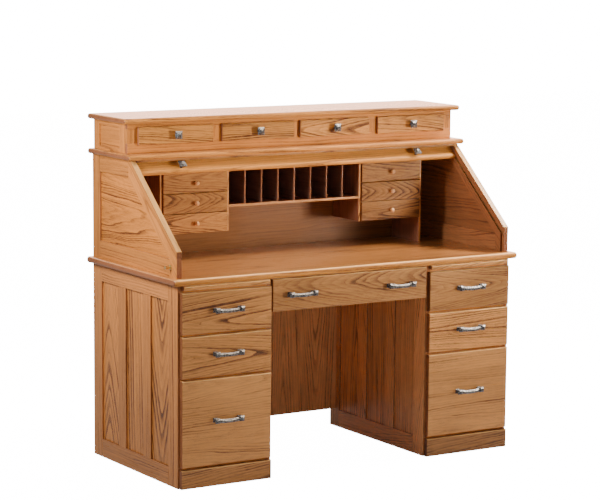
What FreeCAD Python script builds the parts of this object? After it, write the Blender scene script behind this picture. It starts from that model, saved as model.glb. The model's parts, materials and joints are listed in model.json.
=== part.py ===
import FreeCAD
import Part
import math
import os

os.makedirs("parts", exist_ok=True)
Vec = FreeCAD.Vector

# Desktop and carcass, in millimetres
desktop_width = 1524.0
desktop_height = 774.0
desktop_thick = 24.0
desktop_side_overhang = 26.0
desktop_front_overhang = 28.0
desktop_round = 10.0
board_corner = 12.0
carcass_depth = 672.0
slip = 0.3
tiny = 0.01

# Pedestals: framed sides with recessed panels
pedestal_width = 392.0
side_thick = 20.0
side_stile = 70.0
side_mullion = 60.0
side_top_rail = 65.0
side_bottom_rail = 72.0
side_panels = 3
panel_thick = 6.5
panel_tongue = 8.0
panel_room = 0.3
joint_room = 0.1
pedestal_back_thick = 10.0
pedestal_floor_thick = 12.0
pedestal_floor_rise = 50.0

# Pedestal fronts: plinth, drawers and writing slide
front_thick = 20.0
front_round = 4.5
front_margin = 9.0
reveal = 9.0
plinth_height = 71.0
plinth_margin = 6.0
small_front_height = 152.0
slide_thick = 16.0
slide_top_gap = 2.0
slide_lip_margin = 15.0
slide_lip_round = 5.0
slide_back_gap = 102.0

# Drawer boxes in the pedestals and the web frames that carry them
box_side = 12.0
box_floor = 6.0
box_floor_rise = 8.0
box_side_gap = 3.0
box_back_gap = 62.0
box_rise = 11.0
box_headroom = 31.0
bearer_width = 18.0
bearer_height = 22.0
web_rail_depth = 40.0

# Centre drawer and the modesty panel at the back of the kneehole
centre_front_height = 121.0
centre_front_proud = 10.0
centre_top_gap = 5.0
centre_side_gap = 1.0
centre_box_depth = 430.0
centre_box_side_gap = 18.0
centre_box_rise = 14.0
centre_box_headroom = 22.0
cleat_height = 20.0
cleat_gap = 2.0
runner_height = 18.0
runner_setback = 12.0
modesty_thick = 19.0
modesty_inset = 25.0
modesty_rise = 75.0

# Hutch: two framed sides with a sloping front edge, and a back
hutch_height = 394.0
hutch_side_thick = 20.0
nose_height = 97.0
nose_setback = 6.0
nose_round = 4.0
hutch_top_depth = 310.0
slope_stile = 60.0
slope_edging = 20.0
edging_proud = 1.0
hutch_back_stile = 60.0
hutch_top_rail = 64.0
hutch_bottom_rail = 66.0
hutch_back_thick = 12.0

# Tambour: groove, slats, leading slat and lift rail
groove_inset = 28.0
groove_width = 10.0
groove_depth = 8.0
groove_bend = 30.0
groove_back_bend = 55.0
groove_back_inset = 40.0
groove_foot = 100.0
hinge_below_shelf = 10.0
sill_gap = 4.0
slat_pitch = 29.0
slat_width = 26.0
slat_thick = 9.0
slat_shoulder = 3.0
slat_end_gap = 1.0
tongue_width = 10.0
tongue_thick = 8.0
tongue_length = 7.5
canvas_thick = 1.0
canvas_margin = 20.0
leading_width = 12.0
pin_diameter = 8.4
pin_clearance = 0.3
lift_rail_length = 70.0
lift_rail_thick = 20.0
lift_rail_gap = 9.0
lift_rail_end_gap = 3.0
lug_thick = 10.0
lug_radius = 8.0
lug_reach = 20.0
lug_gap = 1.0
lift_knob_rise = 22.0
fascia_height = 8.0
fascia_thick = 10.0
fascia_lead = 42.0

# Lock on the left hutch side
lock_joint_gap = 8.5
lock_rise = 36.0
lock_diameter = 12.0
lock_reach = 22.0
lock_inner_gap = 0.5
bezel_diameter = 20.0
bezel_thick = 3.0
key_slot_width = 1.6
key_slot_length = 7.0
key_slot_depth = 2.0

# Pigeonhole unit on the desktop
unit_depth = 190.0
unit_back_inset = 82.0
unit_top_gap = 50.0
unit_board = 9.5
tall_width = 123.5
stack_width = 279.0
stack_rise = 107.0
stack_board = 6.0
stack_top_gap = 3.0
stack_count = 3
unit_back_thick = 8.0
slot_count = 8
slot_divider = 6.0
slot_setback = 5.0
slot_shelf_rise = 192.0
small_front_thick = 12.0
small_front_proud = 8.0
small_front_round = 3.0
small_front_gap = 1.0
small_box_side = 7.0
small_box_gap = 2.0
small_box_depth = 170.0
small_box_headroom = 6.0

# Middle shelf, deck of four drawers and top board
shelf_thick = 20.0
shelf_width = 1512.0
shelf_depth = 338.0
shelf_round = 9.0
deck_depth = 275.0
deck_height = 112.0
deck_inset = 6.0
deck_end_thick = 18.0
deck_end_stile = 45.0
deck_end_rail = 14.0
deck_frame_thick = 18.0
deck_back_thick = 10.0
deck_end_margin = 41.0
deck_muntin = 39.0
deck_middle_muntin = 28.0
deck_bottom_margin = 31.0
deck_top_margin = 13.0
deck_lip = 7.0
deck_front_thick = 12.0
deck_front_round = 4.0
deck_box_side = 8.0
deck_box_gap = 2.0
deck_box_depth = 230.0
deck_box_headroom = 4.0
deck_bearer_width = 20.0
deck_bearer_height = 14.0
top_board_thick = 20.0
top_board_width = 1512.0
top_board_overhang = 29.0

# Metal pulls and knobs, and turned wooden knobs
pull_reach = 28.0
pull_rise = 6.0
pull_span = 102.0
pull_base = 18.0
pull_neck = 11.0
pull_head = 20.0
pull_tip = 8.0
pull_neck_out = 9.0
pull_head_out = 21.0
pull_bar_height = 12.0
pull_bar_thick = 9.0
pull_bar_out = 10.0
pull_bar_bow = 6.0
pull_bar_tilt = 35.0
centre_pull_inset = 124.0
knob_reach = 26.0
knob_stem = 12.0
knob_stem_out = 12.0
knob_base = 21.0
knob_head = 30.0
knob_head_out = 19.0
knob_tip = 9.0
wood_knob_diameter = 17.0
wood_knob_neck = 9.0
wood_knob_reach = 20.0
wood_knob_tip = 6.0

# Places worked out from the sizes above
overall_depth = carcass_depth + front_thick + pull_reach
front_y = front_thick + pull_reach - overall_depth / 2
back_y = front_y + carcass_depth
half_width = desktop_width / 2 - desktop_side_overhang
carcass_height = desktop_height - desktop_thick
knee_half = half_width - pedestal_width
hutch_inner = half_width - hutch_side_thick
hutch_top = desktop_height + hutch_height
unit_height = hutch_height - unit_top_gap
unit_y = back_y - unit_back_inset - unit_depth
deck_y = back_y - deck_depth
slope_top_y = back_y - hutch_top_depth
stack_pitch = (unit_height - unit_board - stack_top_gap - stack_rise + stack_board) / stack_count
shelf_top = hutch_top + shelf_thick
deck_top = shelf_top + deck_height
overall_height = deck_top + top_board_thick
slide_top = carcass_height - slide_top_gap
slide_low = slide_top - slide_thick
top_front_z = slide_low - reveal - small_front_height
middle_front_z = top_front_z - reveal - small_front_height
file_front_z = plinth_height + reveal
file_front_height = middle_front_z - reveal - file_front_z
box_half = pedestal_width / 2 - side_thick - box_side_gap
box_depth = carcass_depth - pedestal_back_thick - box_back_gap
slide_depth = carcass_depth - pedestal_back_thick - slide_back_gap
pedestal_x = half_width - pedestal_width / 2
drawer_rows = {
    "top": (top_front_z, small_front_height),
    "middle": (middle_front_z, small_front_height),
    "file": (file_front_z, file_front_height),
}

nose_y = front_y + nose_setback
slope = math.atan2(hutch_height - nose_height, slope_top_y - nose_y)
nose_z = desktop_height + nose_height
run_z = hutch_top - hinge_below_shelf
hinge_closed_z = desktop_height + sill_gap + lift_rail_length


def on_slope(along, inset):
    y = nose_y + along * math.cos(slope) + inset * math.sin(slope)
    z = nose_z + along * math.sin(slope) - inset * math.cos(slope)
    return y, z


def along_at(z, inset):
    return (z - nose_z + inset * math.cos(slope)) / math.sin(slope)


def slope_y(z, inset):
    return on_slope(along_at(z, inset), inset)[0]


hinge_y, hinge_z = on_slope(along_at(run_z, groove_inset), groove_inset)
tambour_travel = along_at(run_z, groove_inset) - along_at(hinge_closed_z, groove_inset)


def block(x0, x1, y0, y1, z0, z1):
    return Part.makeBox(x1 - x0, y1 - y0, z1 - z0, Vec(x0, y0, z0))


def rod(x0, x1, y, z, diameter):
    return Part.makeCylinder(diameter / 2, x1 - x0, Vec(x0, y, z), Vec(1, 0, 0))


def prism(points, x0, x1):
    corners = [Vec(x0, y, z) for y, z in points]
    face = Part.Face(Part.makePolygon(corners + corners[:1]))
    return face.extrude(Vec(x1 - x0, 0, 0))


def outline_prism(edges, x0, x1):
    wire = Part.Wire(Part.sortEdges(edges)[0])
    body = Part.Face(wire).extrude(Vec(x1 - x0, 0, 0))
    body.translate(Vec(x0, 0, 0))
    return body


def line_edge(start, end):
    return Part.makeLine(Vec(0, *start), Vec(0, *end))


def arc_edge(start, through, end):
    return Part.Arc(Vec(0, *start), Vec(0, *through), Vec(0, *end)).toShape()


def mirrored(shape):
    return shape.mirror(Vec(0, 0, 0), Vec(1, 0, 0))


def round_edges(solid, radius, wanted):
    return solid.makeFillet(radius, [edge for edge in solid.Edges if wanted(edge.BoundBox)])


def save(node, shapes):
    solids = [solid for shape in shapes for solid in shape.Solids]
    Part.makeCompound(solids).exportStep("parts/" + node + ".step")


# A square post that tapers between the given sizes, each with its distance out from the face
def square_post(stations):
    tapers = []
    for (size0, out0), (size1, out1) in zip(stations, stations[1:]):
        low = size0 / 2
        high = size1 / 2
        taper = Part.makeWedge(-low, out0, -low, -high, -high, low, out1, low, high, high)
        tapers.append(taper.mirror(Vec(0, 0, 0), Vec(0, 1, 0)))
    return tapers[0].fuse(tapers[1:])


def edged_board(width, y_front, z_low, thick, radius):
    board = block(-width / 2, width / 2, y_front, back_y, z_low, z_low + thick)
    board = round_edges(board, board_corner, lambda b: b.ZLength > tiny and b.YMax < y_front + tiny)
    return round_edges(board, radius, lambda b: b.ZLength < tiny and b.YMin < back_y - tiny)


def front_board(x, width, y_face, thick, z_low, height, radius):
    board = block(x - width / 2, x + width / 2, y_face, y_face + thick, z_low, z_low + height)
    return round_edges(board, radius, lambda b: b.YMax < y_face + tiny)


def drawer_box(x, half, y_front, depth, z_low, height, side):
    y_back = y_front + depth
    inner = half - side
    floor_z = z_low + box_floor_rise
    walls = [
        block(x - half, x - inner, y_front, y_back, z_low, z_low + height),
        block(x + inner, x + half, y_front, y_back, z_low, z_low + height),
        block(x - inner, x + inner, y_front, y_front + side, z_low, z_low + height),
        block(x - inner, x + inner, y_back - side, y_back, z_low, z_low + height),
        block(x - inner, x + inner, y_front + side, y_back - side, floor_z, floor_z + box_floor),
    ]
    return walls


def with_room(x0, x1, y0, y1, z0, z1):
    return block(x0 - panel_room, x1 + panel_room, y0 - panel_room, y1 + panel_room,
                 z0 - panel_room, z1 + panel_room)


def panelled_frame(x0, x1, y0, y1, z0, z1, stile, top_rail, bottom_rail, mullion, count):
    inner_y0 = y0 + stile
    inner_y1 = y1 - stile
    inner_z0 = z0 + bottom_rail
    inner_z1 = z1 - top_rail
    bay = (inner_y1 - inner_y0 - (count - 1) * mullion) / count
    panel_x = (x0 + x1 - panel_thick) / 2
    members = [
        block(x0, x1, y0, inner_y0, z0, z1),
        block(x0, x1, inner_y1, y1, z0, z1),
        block(x0, x1, inner_y0 + joint_room, inner_y1 - joint_room, z0, inner_z0),
        block(x0, x1, inner_y0 + joint_room, inner_y1 - joint_room, inner_z1, z1),
    ]
    panels = []
    grooves = []
    for index in range(count):
        bay_y = inner_y0 + index * (bay + mullion)
        if index > 0:
            members.append(block(x0, x1, bay_y - mullion, bay_y, inner_z0 + joint_room,
                                 inner_z1 - joint_room))
        spans = (bay_y - panel_tongue, bay_y + bay + panel_tongue, inner_z0 - panel_tongue,
                 inner_z1 + panel_tongue)
        panels.append(block(panel_x, panel_x + panel_thick, *spans))
        grooves.append(with_room(panel_x, panel_x + panel_thick, *spans))
    return [member.cut(grooves) for member in members] + panels


def bar_pull(x, y_face, z):
    stations = [(pull_base, 0), (pull_neck, pull_neck_out), (pull_head, pull_head_out),
                (pull_tip, pull_reach)]
    post = square_post(stations)
    ends = []
    for offset in (-pull_span / 2, pull_span / 2):
        end = post.copy()
        end.translate(Vec(offset, 0, 0))
        ends.append(end)
    half = pull_span / 2
    inner = [Vec(-half, -pull_bar_out, 0), Vec(0, -pull_bar_out - pull_bar_bow, 0),
             Vec(half, -pull_bar_out, 0)]
    outer = [point - Vec(0, pull_bar_thick, 0) for point in inner]
    edges = [Part.Arc(*inner).toShape(), Part.Arc(*outer).toShape(),
             Part.makeLine(inner[0], outer[0]), Part.makeLine(inner[2], outer[2])]
    face = Part.Face(Part.Wire(Part.sortEdges(edges)[0]))
    bar = face.extrude(Vec(0, 0, pull_bar_height))
    bar.translate(Vec(0, 0, -pull_bar_height / 2))
    bar.rotate(Vec(0, -pull_bar_out - pull_bar_thick / 2, 0), Vec(1, 0, 0), pull_bar_tilt)
    pull = bar.fuse(ends).removeSplitter()
    pull.translate(Vec(x, y_face, z))
    return pull


def metal_knob():
    stations = [(knob_base, knob_stem_out), (knob_head, knob_head_out), (knob_tip, knob_reach)]
    head = square_post(stations)
    stem = Part.makeCylinder(knob_stem / 2, knob_stem_out, Vec(0, 0, 0), Vec(0, -1, 0))
    return head.fuse(stem)


# A turned knob: a ball with a flat tip on a short neck
def wood_knob(x, y_face, z):
    radius = wood_knob_diameter / 2
    tip_angle = math.acos(wood_knob_tip / wood_knob_diameter)
    centre = wood_knob_reach - radius * math.sin(tip_angle)
    out = Vec(0, -1, 0)
    ball = Part.makeSphere(radius, out * centre, out, -90, math.degrees(tip_angle), 360)
    knob = ball.fuse(Part.makeCylinder(wood_knob_neck / 2, centre, Vec(0, 0, 0), out))
    knob.translate(Vec(x, y_face, z))
    return knob


# Desktop with a rounded rim
def make_desktop():
    top = edged_board(desktop_width, front_y - desktop_front_overhang, carcass_height,
                      desktop_thick, desktop_round)
    save("desktop", [top])


# One pedestal: two framed sides, the carcass inside and the plinth
def make_pedestal(side, x):
    outer = pedestal_width / 2
    inner = outer - side_thick
    walls = {-1: (x - outer, x - inner), 1: (x + inner, x + outer)}
    for way, (x0, x1) in walls.items():
        name = "outer" if way * x > 0 else "inner"
        frame = panelled_frame(x0, x1, front_y, back_y, 0, carcass_height, side_stile,
                               side_top_rail, side_bottom_rail, side_mullion, side_panels)
        save(side + "_" + name + "_side", frame)
    back_face = back_y - pedestal_back_thick
    floor_z = pedestal_floor_rise
    pieces = [
        block(x - inner, x + inner, back_face, back_y, floor_z, carcass_height),
        block(x - inner, x + inner, front_y, back_face, floor_z, floor_z + pedestal_floor_thick),
    ]
    seats = [(z + box_rise - slip, bearer_height) for z, height in drawer_rows.values()]
    seats.append((slide_low - slip, min(bearer_height, slide_thick)))
    rail_back = front_y + web_rail_depth
    for top, height in seats:
        pieces.append(block(x - inner, x + inner, front_y, rail_back, top - height, top))
        for x0 in (x - inner, x + inner - bearer_width):
            pieces.append(block(x0, x0 + bearer_width, rail_back, back_face, top - height, top))
    save(side + "_pedestal_frame", pieces)
    plinth = front_board(x, pedestal_width - 2 * plinth_margin, front_y - front_thick,
                         front_thick, 0, plinth_height, front_round)
    save(side + "_plinth", [plinth])


# Pedestal drawers: an overlay front, a box behind it and a bar pull
def make_pedestal_drawers(side, x):
    y_face = front_y - front_thick
    width = pedestal_width - 2 * front_margin
    for row, (z, height) in drawer_rows.items():
        front = front_board(x, width, y_face, front_thick, z, height, front_round)
        box = drawer_box(x, box_half, front_y, box_depth, z + box_rise,
                         height - box_rise - box_headroom, box_side)
        save(side + "_" + row + "_drawer", [front] + box)
        save(side + "_" + row + "_pull", [bar_pull(x, y_face, z + height / 2 + pull_rise)])


# Writing slide: a board with a lip across its front edge
def make_writing_slide(side, x):
    lip = front_board(x, pedestal_width - 2 * slide_lip_margin, front_y - front_thick,
                      front_thick, slide_low, slide_thick, slide_lip_round)
    board = block(x - box_half, x + box_half, front_y, front_y + slide_depth, slide_low, slide_top)
    save(side + "_writing_slide", [lip, board])


# Centre drawer, hung by cleats on two runners
def make_centre_drawer():
    y_face = front_y - centre_front_proud
    y_box = y_face + front_thick
    z = carcass_height - centre_top_gap - centre_front_height
    half = knee_half - centre_box_side_gap
    box_z = z + centre_box_rise
    box_height = centre_front_height - centre_box_rise - centre_box_headroom
    cleat_z = box_z + box_height - cleat_height
    front = front_board(0, 2 * (knee_half - centre_side_gap), y_face, front_thick, z,
                        centre_front_height, front_round)
    pieces = [front] + drawer_box(0, half, y_box, centre_box_depth, box_z, box_height, box_side)
    runners = []
    runner_y = y_box + runner_setback
    runner_end = y_box + centre_box_depth
    for way in (-1, 1):
        cleat = block(half, knee_half - cleat_gap, y_box, runner_end, cleat_z,
                      cleat_z + cleat_height)
        runner = block(half + cleat_gap, knee_half, runner_y, runner_end,
                       cleat_z - slip - runner_height, cleat_z - slip)
        pieces.append(cleat if way > 0 else mirrored(cleat))
        runners.append(runner if way > 0 else mirrored(runner))
    save("centre_drawer", pieces)
    save("centre_runners", runners)
    pull_x = knee_half - centre_pull_inset
    pulls = [bar_pull(way * pull_x, y_face, z + centre_front_height / 2) for way in (-1, 1)]
    save("centre_pulls", pulls)


def make_modesty_panel():
    y_back = back_y - modesty_inset
    panel = block(-knee_half, knee_half, y_back - modesty_thick, y_back, modesty_rise, carcass_height)
    save("modesty_panel", [panel])


# Path of the tambour in the side view: up the slope, over to the back and down
def tambour_path(foot_z):
    tangent = groove_bend * math.tan(slope / 2)
    start = on_slope(along_at(hinge_closed_z, groove_inset), groove_inset)
    bend = (hinge_y - tangent * math.cos(slope), hinge_z - tangent * math.sin(slope))
    flat_y = hinge_y + tangent
    drop_y = back_y - groove_back_inset
    turn_y = drop_y - groove_back_bend
    turn_z = run_z - groove_back_bend
    path = [
        ("line", start, bend),
        ("bend", (flat_y, run_z - groove_bend), groove_bend, slope, 0.0),
        ("line", (flat_y, run_z), (turn_y, run_z)),
        ("bend", (turn_y, turn_z), groove_back_bend, 0.0, -math.pi / 2),
        ("line", (drop_y, turn_z), (drop_y, foot_z)),
    ]
    return path


def left_of(heading, distance):
    return -distance * math.sin(heading), distance * math.cos(heading)


def heading_of(start, end):
    return math.atan2(end[1] - start[1], end[0] - start[0])


def moved(point, step):
    return point[0] + step[0], point[1] + step[1]


def offset_points(segment, distance):
    if segment[0] == "line":
        step = left_of(heading_of(segment[1], segment[2]), distance)
        return [moved(segment[1], step), moved(segment[2], step)]
    kind, centre, radius, turn0, turn1 = segment
    headings = (turn0, (turn0 + turn1) / 2, turn1)
    return [moved(centre, left_of(heading, radius + distance)) for heading in headings]


def ribbon(path, low, high, x0, x1):
    edges = []
    for distance in (low, high):
        for segment in path:
            points = offset_points(segment, distance)
            edges.append(line_edge(*points) if len(points) == 2 else arc_edge(*points))
    for segment, end in ((path[0], 0), (path[-1], -1)):
        edges.append(line_edge(offset_points(segment, low)[end], offset_points(segment, high)[end]))
    return outline_prism(edges, x0, x1)


def segment_length(segment):
    if segment[0] == "line":
        return math.dist(segment[1], segment[2])
    return segment[2] * abs(segment[4] - segment[3])


def place_on(path, distance):
    for segment in path:
        length = segment_length(segment)
        if distance <= length or segment is path[-1]:
            break
        distance -= length
    if segment[0] == "line":
        heading = heading_of(segment[1], segment[2])
        step = (distance * math.cos(heading), distance * math.sin(heading))
        return moved(segment[1], step), heading
    kind, centre, radius, turn0, turn1 = segment
    heading = turn0 + (turn1 - turn0) * distance / length
    return moved(centre, left_of(heading, radius)), heading


# Groove for the tambour in the inner face of a hutch side, with both ends of the leading slat's way
def tambour_groove(x0, x1):
    path = tambour_path(desktop_height + groove_foot)
    half = groove_width / 2
    start = path[0][1]
    ways = [
        ribbon(path, -half, half, x0, x1),
        ribbon([("line", path[0][2], (hinge_y, hinge_z))], -half, half, x0, x1),
        rod(x0, x1, hinge_y, hinge_z, groove_width),
        rod(x0, x1, start[0], start[1], groove_width),
        block(x0, x1, start[0] - half, start[0] + half, desktop_height, start[1]),
    ]
    return ways[0].fuse(ways[1:])


# Hutch side on the right: stiles, rails and a panel held in their grooves
def hutch_side_pieces():
    x0 = hutch_inner
    x1 = half_width
    rail_z = desktop_height + hutch_bottom_rail
    rail_top_z = hutch_top - hutch_top_rail
    stile_y = back_y - hutch_back_stile
    knee_y = slope_y(rail_z, slope_stile)
    crown_y = slope_y(rail_top_z, slope_stile)
    nose_split = on_slope(-slope_edging * math.tan(slope), slope_edging)
    edging = prism([nose_split, (nose_y, nose_z), (slope_top_y, hutch_top),
                    (slope_y(hutch_top, slope_edging), hutch_top)], x0, x1 + edging_proud)
    edging = round_edges(edging, nose_round, lambda b: b.XLength > tiny
                         and b.YMax < nose_y + tiny and b.ZMin > nose_z - tiny)
    seam = slope_edging + joint_room
    stile_foot = on_slope(-seam * math.tan(slope), seam)
    front_stile = prism([(nose_y, desktop_height), stile_foot, (slope_y(hutch_top, seam), hutch_top),
                         (crown_y, hutch_top), (crown_y, rail_top_z), (knee_y, rail_z),
                         (knee_y, desktop_height)], x0, x1)
    rail_end = stile_y - joint_room
    top_rail = block(x0, x1, crown_y + joint_room, rail_end, rail_top_z, hutch_top)
    bottom_rail = block(x0, x1, knee_y + joint_room, rail_end, desktop_height, rail_z)
    back_stile = block(x0, x1, stile_y, back_y, desktop_height, hutch_top)
    panel_x = (x0 + x1 - panel_thick) / 2

    def panel_grown(room):
        reach = panel_tongue + room
        low = rail_z - reach
        high = rail_top_z + reach
        inset = slope_stile - reach
        corners = [(slope_y(low, inset), low), (stile_y + reach, low), (stile_y + reach, high),
                   (slope_y(high, inset), high)]
        return prism(corners, panel_x - room, panel_x + panel_thick + room)

    cuts = [panel_grown(panel_room), tambour_groove(x0, x0 + groove_depth)]
    members = (front_stile, top_rail, bottom_rail, back_stile)
    return [member.cut(cuts) for member in members] + [edging, panel_grown(0)]


def make_hutch():
    right = hutch_side_pieces()
    save("right_hutch_side", right)
    lock_y = slope_y(desktop_height + hutch_bottom_rail, slope_stile) - lock_joint_gap
    lock_z = desktop_height + lock_rise
    hole = rod(-half_width - lock_reach, -hutch_inner + tiny, lock_y, lock_z,
               lock_diameter + 2 * pin_clearance)
    save("left_hutch_side", [mirrored(piece).cut(hole) for piece in right])
    bezel = rod(-half_width - bezel_thick, -half_width, lock_y, lock_z, bezel_diameter)
    save("lock_bezel", [bezel.cut(hole)])
    plunger_x = -half_width - lock_reach
    plunger = rod(plunger_x, -hutch_inner - lock_inner_gap, lock_y, lock_z, lock_diameter)
    key_slot = block(plunger_x, plunger_x + key_slot_depth, lock_y - key_slot_width / 2,
                     lock_y + key_slot_width / 2, lock_z - key_slot_length / 2,
                     lock_z + key_slot_length / 2)
    save("lock_plunger", [plunger.cut(key_slot)])
    back = block(-hutch_inner, hutch_inner, back_y - hutch_back_thick, back_y, desktop_height, hutch_top)
    save("hutch_back", [back])


# One slat: flat at the back, domed in front
def slat(centre, heading, width, half_length):
    half = width / 2
    low = -slat_thick / 2
    shoulder = low + slat_shoulder

    def at(along, out):
        step = left_of(heading, out)
        return (centre[0] + along * math.cos(heading) + step[0],
                centre[1] + along * math.sin(heading) + step[1])

    edges = [
        line_edge(at(-half, low), at(half, low)),
        line_edge(at(half, low), at(half, shoulder)),
        arc_edge(at(half, shoulder), at(0, slat_thick / 2), at(-half, shoulder)),
        line_edge(at(-half, shoulder), at(-half, low)),
    ]
    return outline_prism(edges, -half_length, half_length), at


def make_tambour():
    foot_z = desktop_height + groove_foot
    path = tambour_path(foot_z)[1:]
    half_length = hutch_inner - slat_end_gap
    tangent = groove_bend * math.tan(slope / 2)
    gap = slat_pitch - slat_width
    first = segment_length(path[0]) - tangent + leading_width / 2 + gap + slat_width / 2
    slats = []
    for index in range(int(tambour_travel // slat_pitch)):
        centre, heading = place_on(path, first + index * slat_pitch)
        body, at = slat(centre, heading, slat_width, half_length)
        reach = tongue_width / 2
        low = -slat_thick / 2
        corners = [at(-reach, low), at(reach, low), at(reach, low + tongue_thick),
                   at(-reach, low + tongue_thick)]
        tongue = prism(corners, half_length, half_length + tongue_length)
        slats.append(body.fuse([tongue, mirrored(tongue)]))
    save("tambour_slats", slats)
    back = -slat_thick / 2 - slip
    last_z = place_on(path, first + (len(slats) - 0.5) * slat_pitch)[0][1]
    canvas = ribbon(tambour_path(last_z)[2:], back - canvas_thick, back,
                    canvas_margin - half_length, half_length - canvas_margin)
    save("tambour_canvas", [canvas])


# Leading slat with round pins that run in the grooves
def make_leading_slat():
    half_length = hutch_inner - lift_rail_end_gap - lug_thick - lug_gap
    pin_end = hutch_inner + tongue_length
    bar = slat((hinge_y, hinge_z), slope, leading_width, half_length)[0]
    pin = rod(half_length, pin_end, hinge_y, hinge_z, pin_diameter)
    save("leading_slat", [bar.fuse([pin, mirrored(pin)])])


# Lift rail with a rounded lower edge and two lugs on the leading slat's pins
def make_lift_rail():
    half = lift_rail_thick / 2
    end = hutch_inner - lift_rail_end_gap

    def at(along, out):
        step = left_of(slope, out)
        return (hinge_y + along * math.cos(slope) + step[0],
                hinge_z + along * math.sin(slope) + step[1])

    top = -lift_rail_gap
    turn = half - lift_rail_length
    edges = [
        line_edge(at(top, -half), at(top, half)),
        line_edge(at(top, half), at(turn, half)),
        arc_edge(at(turn, half), at(-lift_rail_length, 0), at(turn, -half)),
        line_edge(at(turn, -half), at(top, -half)),
    ]
    rail = outline_prism(edges, -end, end)
    strap = prism([at(0, -lug_radius), at(0, lug_radius), at(-lug_reach, lug_radius),
                   at(-lug_reach, -lug_radius)], end - lug_thick, end)
    lug = strap.fuse(rod(end - lug_thick, end, hinge_y, hinge_z, 2 * lug_radius))
    bore = rod(-end, end, hinge_y, hinge_z, pin_diameter + 2 * pin_clearance)
    save("lift_rail", [rail.fuse([lug, mirrored(lug)]).removeSplitter().cut(bore)])
    knobs = []
    knob_y, knob_z = at(lift_knob_rise - lift_rail_length, half)
    for x in (deck_fronts()[0][name] for name in ("far_left", "far_right")):
        knob = metal_knob()
        knob.rotate(Vec(0, 0, 0), Vec(1, 0, 0), math.degrees(slope) - 90)
        knob.translate(Vec(x, knob_y, knob_z))
        knobs.append(knob)
    save("lift_knobs", knobs)


# Pigeonhole unit: partitions, boards, slot dividers and its back
def make_pigeonholes():
    y0 = unit_y
    y1 = y0 + unit_depth
    top_z = desktop_height + unit_height
    under_z = top_z - unit_board
    stack_outer = hutch_inner - tall_width - unit_board
    stack_inner = stack_outer - stack_width
    slot_half = stack_inner - unit_board
    board_y = y0 + small_front_thick - small_front_proud + small_front_gap
    stack_z = desktop_height + stack_rise
    shelf_z = desktop_height + slot_shelf_rise
    pieces = [
        block(-hutch_inner, hutch_inner, y0, y1, under_z, top_z),
        block(-slot_half, slot_half, y0, y1, shelf_z, shelf_z + unit_board),
    ]
    for way in (-1, 1):
        parts = [
            block(stack_outer, stack_outer + unit_board, y0, y1, desktop_height, under_z),
            block(slot_half, stack_inner, y0, y1, stack_z - stack_board, under_z),
        ]
        for index in range(stack_count):
            board_z = stack_z + index * stack_pitch
            parts.append(block(stack_inner, stack_outer, board_y, y1, board_z - stack_board, board_z))
        pieces += parts if way > 0 else [mirrored(part) for part in parts]
    save("pigeonhole_case", pieces)
    pitch = 2 * slot_half / slot_count
    dividers = []
    for index in range(1, slot_count):
        x = index * pitch - slot_half
        dividers.append(block(x - slot_divider / 2, x + slot_divider / 2, y0 + slot_setback, y1,
                              shelf_z + unit_board, under_z))
    save("slot_dividers", dividers)
    back = block(-hutch_inner, hutch_inner, y1, y1 + unit_back_thick, desktop_height, top_z)
    save("pigeonhole_back", [back])


# Small drawers beside the slots, with turned knobs
def make_small_drawers(side, way):
    y_face = unit_y - small_front_proud
    stack_mid = hutch_inner - tall_width - unit_board - stack_width / 2
    box_width = stack_width / 2 - small_box_gap
    height = stack_pitch - 2 * small_front_gap
    for index, row in enumerate(("low", "mid", "high")):
        board_z = desktop_height + stack_rise + index * stack_pitch
        z = board_z - stack_board + small_front_gap
        x = way * stack_mid
        front = front_board(x, stack_width - 2 * small_front_gap, y_face, small_front_thick, z, height,
                            small_front_round)
        box = drawer_box(x, box_width, y_face + small_front_thick, small_box_depth, board_z + slip,
                         stack_pitch - stack_board - small_box_headroom, small_box_side)
        knob = wood_knob(x, y_face, z + height / 2)
        save(side + "_" + row + "_small_drawer", [front] + box + [knob])


# Middle shelf with the strip under its front edge
def make_middle_shelf():
    shelf = edged_board(shelf_width, back_y - shelf_depth, hutch_top, shelf_thick, shelf_round)
    save("middle_shelf", [shelf])
    fascia_y = hinge_y - fascia_lead
    fascia = block(-hutch_inner, hutch_inner, fascia_y, fascia_y + fascia_thick,
                   hutch_top - fascia_height, hutch_top)
    save("tambour_fascia", [fascia])


def deck_fronts():
    half = half_width - deck_inset
    width = (half - deck_end_margin - deck_muntin - deck_middle_muntin / 2) / 2
    near = (deck_middle_muntin + width) / 2
    far = near + width + deck_muntin
    places = {"far_left": -far, "near_left": -near, "near_right": near, "far_right": far}
    return places, width


# Deck: framed ends, back, face frame and drawer bearers
def make_deck():
    half = half_width - deck_inset
    y0 = deck_y
    frame_y = y0 + deck_frame_thick
    back_face = back_y - deck_back_thick
    inner = half - deck_end_thick
    low = shelf_top + deck_bottom_margin + deck_lip
    high = deck_top - deck_top_margin - deck_lip
    places, width = deck_fronts()
    open_half = width / 2 - deck_lip
    end = panelled_frame(inner, half, frame_y, back_y, shelf_top, deck_top, deck_end_stile,
                         deck_end_rail, deck_end_rail, 0, 1)
    pieces = end + [mirrored(piece) for piece in end]
    pieces.append(block(-inner, inner, back_face, back_y, shelf_top, deck_top))
    pieces.append(block(-half, half, y0, frame_y, shelf_top, low))
    pieces.append(block(-half, half, y0, frame_y, high, deck_top))
    edges = [-half]
    for x in places.values():
        edges += [x - open_half, x + open_half]
    edges.append(half)
    for x0, x1 in zip(edges[0::2], edges[1::2]):
        pieces.append(block(x0, x1, y0, frame_y, low + joint_room, high - joint_room))
    for x in places.values():
        for x0 in (x - open_half, x + open_half - deck_bearer_width):
            pieces.append(block(x0, x0 + deck_bearer_width, frame_y, back_face,
                                low - deck_bearer_height, low))
    save("deck_frame", pieces)


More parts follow.
